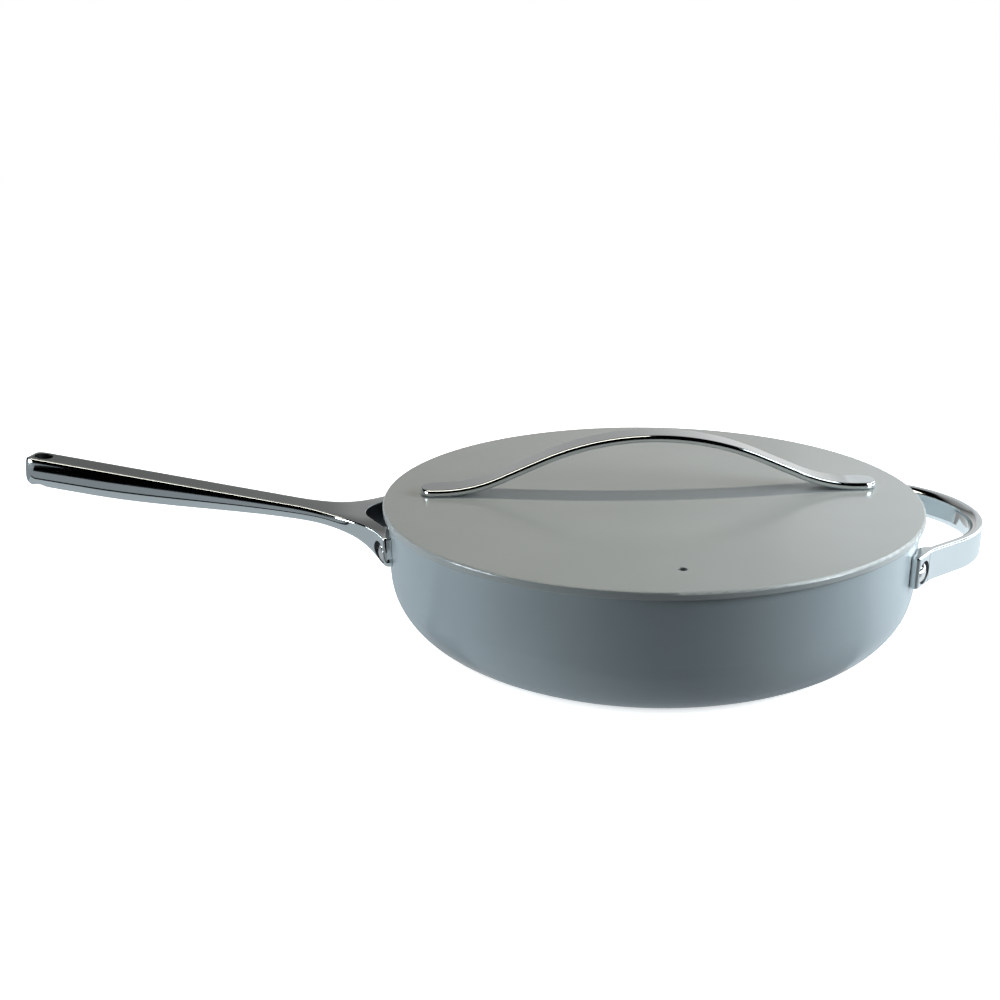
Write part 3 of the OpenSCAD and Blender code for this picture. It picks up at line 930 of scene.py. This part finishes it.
def make_cards():
    """Cards just under the floor, which only the metal and the coating see."""
    for name, x_from, x_to, y_from, y_to, glow in CARDS:
        plan = [(x_from, y_from), (x_to, y_from), (x_to, y_to), (x_from, y_to)]
        card = new_object(name, [(x, y, CARD_Z) for x, y in plan], [(0, 1, 2, 3)])
        dress(card, glow_material(name, glow))
        card.visible_camera = False
        card.visible_shadow = False


def make_floor():
    """The white floor that the camera sees. It has the pan's shadow, and glows a little clear of the pan."""
    verts = [(x, y, 0) for x, y in circle(FLOOR_R, FLOOR_SIDES)]
    floor = new_object("floor", verts, [tuple(range(FLOOR_SIDES))])
    mat, tree, shader = new_material("floor_paper")
    shader.inputs["Base Color"].default_value = (FLOOR_WHITE, FLOOR_WHITE, FLOOR_WHITE, 1)
    shader.inputs["Roughness"].default_value = FLOOR_ROUGH
    shader.inputs["Specular IOR Level"].default_value = 0
    place = tree.nodes.new("ShaderNodeTexCoord")
    away = tree.nodes.new("ShaderNodeVectorMath")
    away.operation = "LENGTH"
    tree.links.new(place.outputs["Object"], away.inputs[0])
    glow = map_range(tree, away.outputs["Value"], 0, FLOOR_GLOW, mm(GLOW_FROM), mm(GLOW_TO), "SMOOTHSTEP")
    shader.inputs["Emission Color"].default_value = WHITE
    tree.links.new(glow, shader.inputs["Emission Strength"])
    dress(floor, mat)
    floor.visible_diffuse = False
    floor.visible_glossy = False
    floor.visible_shadow = False


def surround_strength(tree):
    """Grey behind the pan and darkness in front of it, stronger to the right."""
    place = tree.nodes.new("ShaderNodeTexCoord")
    parts = tree.nodes.new("ShaderNodeSeparateXYZ")
    tree.links.new(place.outputs["Generated"], parts.inputs["Vector"])
    heights = tree.nodes.new("ShaderNodeValToRGB")
    stops = heights.color_ramp.elements
    while len(stops) < len(SURROUND):
        stops.new(0)
    for stop, (height, grey) in zip(stops, SURROUND):
        stop.position = height
        stop.color = (grey, grey, grey, 1)
    tree.links.new(parts.outputs["Z"], heights.inputs["Fac"])
    behind = map_range(tree, parts.outputs["Y"], 0, 1, BEHIND_FROM, BEHIND_TO)
    sideways = map_range(tree, parts.outputs["X"], 1 - RIGHT_GAIN, 1 + RIGHT_GAIN, -1, 1)
    return multiply(tree, multiply(tree, heights.outputs["Color"], behind), sideways)


def make_world():
    """White for the camera, and the surround for everything else."""
    world = bpy.data.worlds.new("studio")
    scene.world = world
    world.use_nodes = True
    tree = world.node_tree
    back = tree.nodes["Background"]
    rays = tree.nodes.new("ShaderNodeLightPath")
    pick = tree.nodes.new("ShaderNodeMix")
    pick.data_type = "FLOAT"
    factor, other_rays, camera_rays = pick.inputs[0], pick.inputs[2], pick.inputs[3]
    tree.links.new(rays.outputs["Is Camera Ray"], factor)
    tree.links.new(surround_strength(tree), other_rays)
    camera_rays.default_value = 1
    tree.links.new(pick.outputs[0], back.inputs["Strength"])
    back.inputs["Color"].default_value = WHITE


make_floor()
make_cards()
make_world()
make_lights()

# Camera, fitted to the photograph: the optical axis meets the picture at (583.3, 500) of 1000 by 1000

CAMERA_AT = (-49.15, -561.8, 246.63)
CAMERA_TILT = math.radians(72.2)
CAMERA_TURN = math.radians(-1.06)
CAMERA_SHIFT = -0.08334
LENS = 36.61
SENSOR_W = 36
CLIP_FROM = 10
CLIP_TO = 100000

camera_data = bpy.data.cameras.new("camera")
camera_data.sensor_width = SENSOR_W
camera_data.lens = LENS
camera_data.shift_x = CAMERA_SHIFT
camera_data.clip_start = mm(CLIP_FROM)
camera_data.clip_end = mm(CLIP_TO)
camera = bpy.data.objects.new("camera", camera_data)
camera.location = [mm(c) for c in CAMERA_AT]
camera.rotation_euler = (CAMERA_TILT, 0, CAMERA_TURN)
scene.collection.objects.link(camera)
scene.camera = camera
scene.view_settings.view_transform = "Standard"
